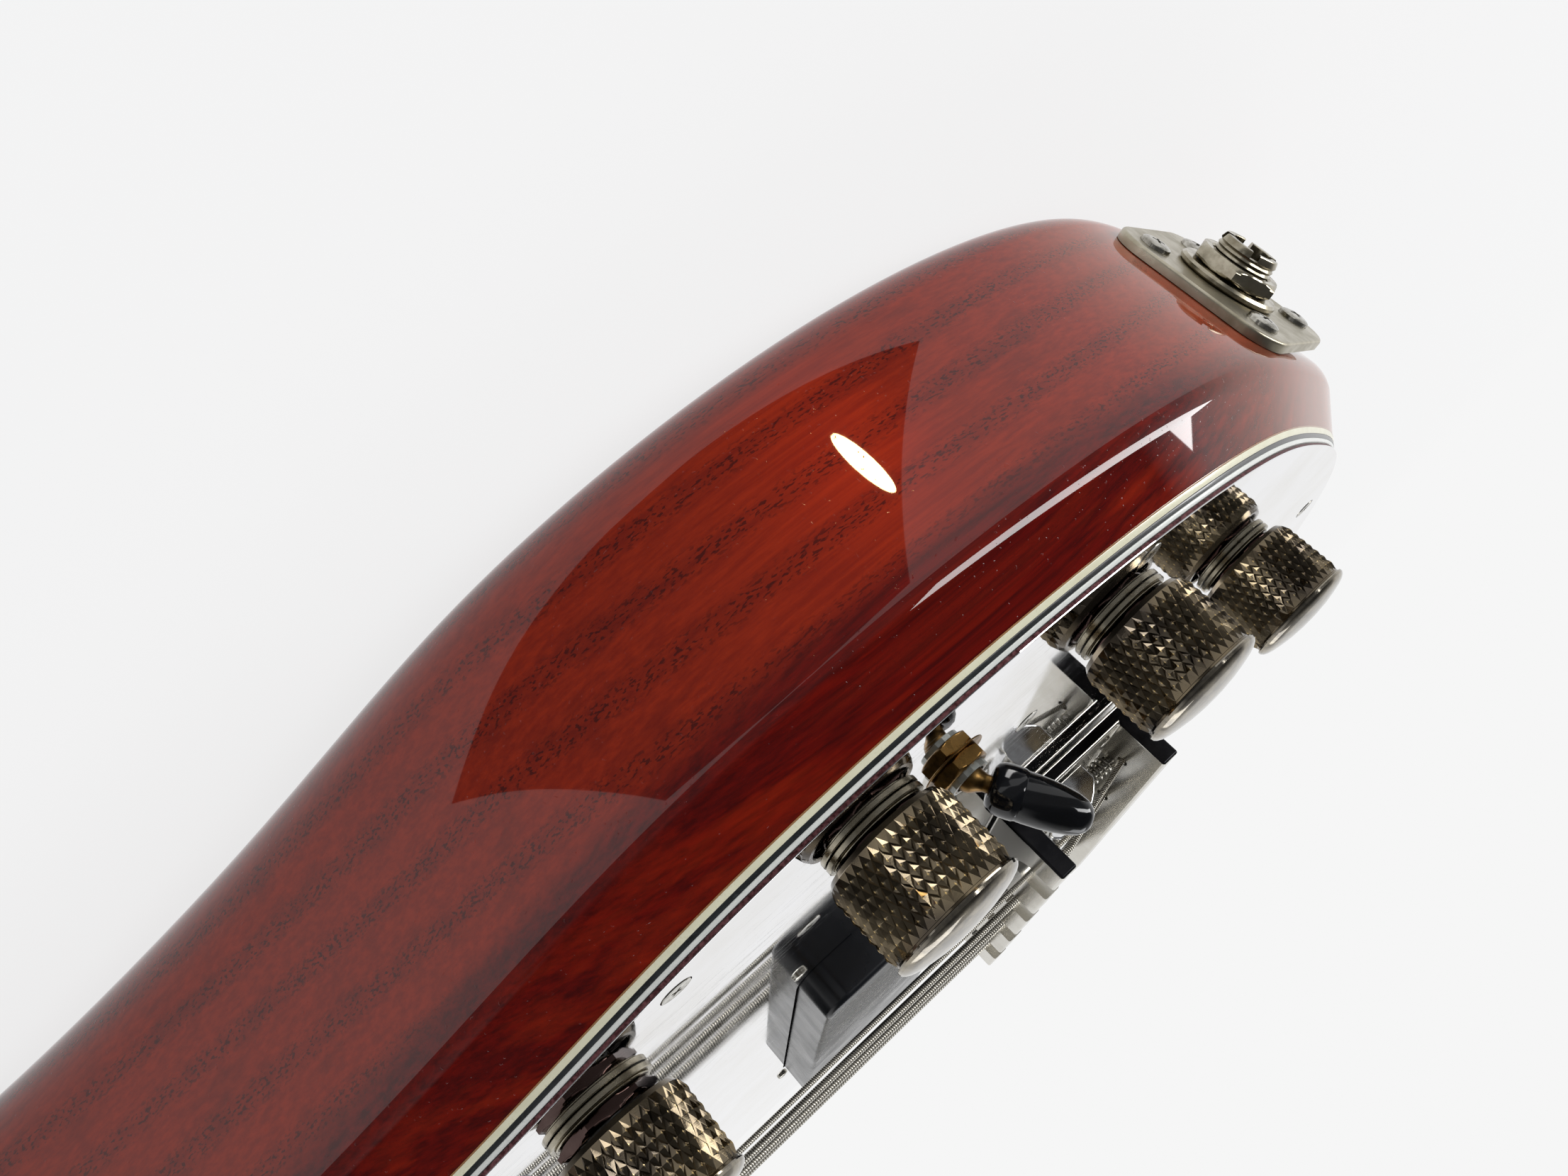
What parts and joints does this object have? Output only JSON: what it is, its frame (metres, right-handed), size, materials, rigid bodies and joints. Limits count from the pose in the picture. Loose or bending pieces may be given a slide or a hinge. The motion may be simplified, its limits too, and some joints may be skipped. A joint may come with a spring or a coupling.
{
  "type": "bass guitar",
  "caption": "Fretless solid-body electric bass guitar with a polished metal front, knurled knobs, toggle switch and a side output jack, lying on its back.",
  "frame": {"origin": "on the flat back, under the middle of the bridge saddles", "axes": "+X towards the headstock, +Z out of the front, -Y the side of the thinnest string"},
  "size_m": [1.1458, 0.3043, 0.0664],
  "materials": {
    "red_lacquered_ash": "deep red transparent gloss lacquer over open-pored ash",
    "celluloid_plies": "three plies: ivory, black and white",
    "polished_steel_plate": "mirror-polished sheet",
    "black_nickel_brass": "black nickel over knurled brass, polished rim",
    "nickel_plated_brass": "slightly dulled nickel plating",
    "satin_nickel_plate": "satin nickel",
    "zinc_plated_can": "zinc plating",
    "aged_brass": "mottled aged brass",
    "black_moulded_plastic": "moulded, glossy",
    "black_nickel_casting": "black plated casting, glossy",
    "chromed_steel": "chrome plating",
    "oiled_maple": "oiled, satin",
    "ebony": "oiled, satin",
    "bone": null,
    "nickel_wound_steel": "roundwound nickel-plated steel wire"
  },
  "bodies": {
    "instrument": {"body": "red_lacquered_ash", "binding": "celluloid_plies", "top_plate": "polished_steel_plate", "control_cover": "black_moulded_plastic", "neck": "oiled_maple", "fretboard": "ebony", "nut": "bone", "truss_rod": "chromed_steel", "truss_rod_cover": "black_moulded_plastic", "bridge_frame": "black_nickel_casting", "pickup_bridge": "black_moulded_plastic", "pickup_neck": "black_moulded_plastic", "toggle_body": "zinc_plated_can", "toggle_nut": "aged_brass", "jack_plate": "satin_nickel_plate", "jack_socket": "zinc_plated_can", "jack_nut": "nickel_plated_brass", "jack_washer": "nickel_plated_brass", "strap_button_tail": "chromed_steel", "strap_button_horn": "chromed_steel", "string_g": "nickel_wound_steel", "tuner_plate_g": "chromed_steel", "string_d": "nickel_wound_steel", "tuner_plate_d": "chromed_steel", "string_a": "nickel_wound_steel", "tuner_plate_a": "chromed_steel", "string_e": "nickel_wound_steel", "tuner_plate_e": "chromed_steel", "pot_1": "zinc_plated_can", "pot_nut_1": "nickel_plated_brass", "pot_2": "zinc_plated_can", "pot_nut_2": "nickel_plated_brass", "pot_3": "zinc_plated_can", "pot_nut_3": "nickel_plated_brass", "pot_4": "zinc_plated_can", "pot_nut_4": "nickel_plated_brass"},
    "knob_set_1": {"knob_1": "black_nickel_brass", "pot_shaft_1": "nickel_plated_brass"},
    "knob_set_2": {"knob_2": "black_nickel_brass", "pot_shaft_2": "nickel_plated_brass"},
    "knob_set_3": {"knob_3": "black_nickel_brass", "pot_shaft_3": "nickel_plated_brass"},
    "knob_set_4": {"knob_4": "black_nickel_brass", "pot_shaft_4": "nickel_plated_brass"},
    "toggle_arm": {"toggle_lever": "aged_brass", "toggle_tip": "black_moulded_plastic"},
    "tuner_post_set_g": {"tuner_post_g": "chromed_steel"},
    "tuner_key_set_g": {"tuner_key_g": "chromed_steel"},
    "saddle_set_g": {"saddle_g": "chromed_steel"},
    "tuner_post_set_d": {"tuner_post_d": "chromed_steel"},
    "tuner_key_set_d": {"tuner_key_d": "chromed_steel"},
    "saddle_set_d": {"saddle_d": "chromed_steel"},
    "tuner_post_set_a": {"tuner_post_a": "chromed_steel"},
    "tuner_key_set_a": {"tuner_key_a": "chromed_steel"},
    "saddle_set_a": {"saddle_a": "chromed_steel"},
    "tuner_post_set_e": {"tuner_post_e": "chromed_steel"},
    "tuner_key_set_e": {"tuner_key_e": "chromed_steel"},
    "saddle_set_e": {"saddle_e": "chromed_steel"}
  },
  "joints": [
    {"name": "knob_turn_1", "type": "hinge", "parent": "instrument", "child": "knob_set_1", "pos_m": [-0.03055, -0.08501, 0.0504], "axis": [0, 0, 1], "range_deg": [-150, 150]},
    {"name": "knob_turn_2", "type": "hinge", "parent": "instrument", "child": "knob_set_2", "pos_m": [0.01208, -0.1175, 0.0504], "axis": [0, 0, 1], "range_deg": [-150, 150]},
    {"name": "knob_turn_3", "type": "hinge", "parent": "instrument", "child": "knob_set_3", "pos_m": [0.05893, -0.12268, 0.0504], "axis": [0, 0, 1], "range_deg": [-150, 150]},
    {"name": "knob_turn_4", "type": "hinge", "parent": "instrument", "child": "knob_set_4", "pos_m": [0.10234, -0.10385, 0.052], "axis": [0, 0, 1], "range_deg": [-150, 150]},
    {"name": "toggle_throw", "type": "hinge", "parent": "instrument", "child": "toggle_arm", "pos_m": [0.044, -0.1174, 0.0511], "axis": [0, 1, 0], "range_deg": [0, 41]},
    {"name": "post_turn_g", "type": "hinge", "parent": "instrument", "child": "tuner_post_set_g", "pos_m": [0.90885, -0.027, 0.04551], "axis": [0.0872, 0, 0.9962], "continuous": true},
    {"name": "key_turn_g", "type": "hinge", "parent": "instrument", "child": "tuner_key_set_g", "pos_m": [0.91949, -0.027, 0.02491], "axis": [0, -1, 0], "continuous": true},
    {"name": "post_turn_d", "type": "hinge", "parent": "instrument", "child": "tuner_post_set_d", "pos_m": [0.9726, -0.027, 0.03994], "axis": [0.0872, 0, 0.9962], "continuous": true},
    {"name": "key_turn_d", "type": "hinge", "parent": "instrument", "child": "tuner_key_set_d", "pos_m": [0.98325, -0.027, 0.01933], "axis": [0, -1, 0], "continuous": true},
    {"name": "post_turn_a", "type": "hinge", "parent": "instrument", "child": "tuner_post_set_a", "pos_m": [0.9726, 0.027, 0.03994], "axis": [0.0872, 0, 0.9962], "continuous": true},
    {"name": "key_turn_a", "type": "hinge", "parent": "instrument", "child": "tuner_key_set_a", "pos_m": [0.98325, 0.027, 0.01933], "axis": [0, 1, 0], "continuous": true},
    {"name": "post_turn_e", "type": "hinge", "parent": "instrument", "child": "tuner_post_set_e", "pos_m": [0.90885, 0.027, 0.04551], "axis": [0.0872, 0, 0.9962], "continuous": true},
    {"name": "key_turn_e", "type": "hinge", "parent": "instrument", "child": "tuner_key_set_e", "pos_m": [0.91949, 0.027, 0.02491], "axis": [0, 1, 0], "continuous": true},
    {"name": "saddle_slide_g", "type": "slide", "parent": "instrument", "child": "saddle_set_g", "axis": [1, 0, 0], "range_m": [0, 0.004]},
    {"name": "saddle_slide_d", "type": "slide", "parent": "instrument", "child": "saddle_set_d", "axis": [1, 0, 0], "range_m": [0, 0.004]},
    {"name": "saddle_slide_a", "type": "slide", "parent": "instrument", "child": "saddle_set_a", "axis": [1, 0, 0], "range_m": [0, 0.004]},
    {"name": "saddle_slide_e", "type": "slide", "parent": "instrument", "child": "saddle_set_e", "axis": [1, 0, 0], "range_m": [0, 0.004]}
  ],
  "couplings": [
    {"joint": "post_turn_g", "follows": "key_turn_g", "ratio": 0.05},
    {"joint": "post_turn_d", "follows": "key_turn_d", "ratio": 0.05},
    {"joint": "post_turn_a", "follows": "key_turn_a", "ratio": -0.05},
    {"joint": "post_turn_e", "follows": "key_turn_e", "ratio": -0.05}
  ]
}
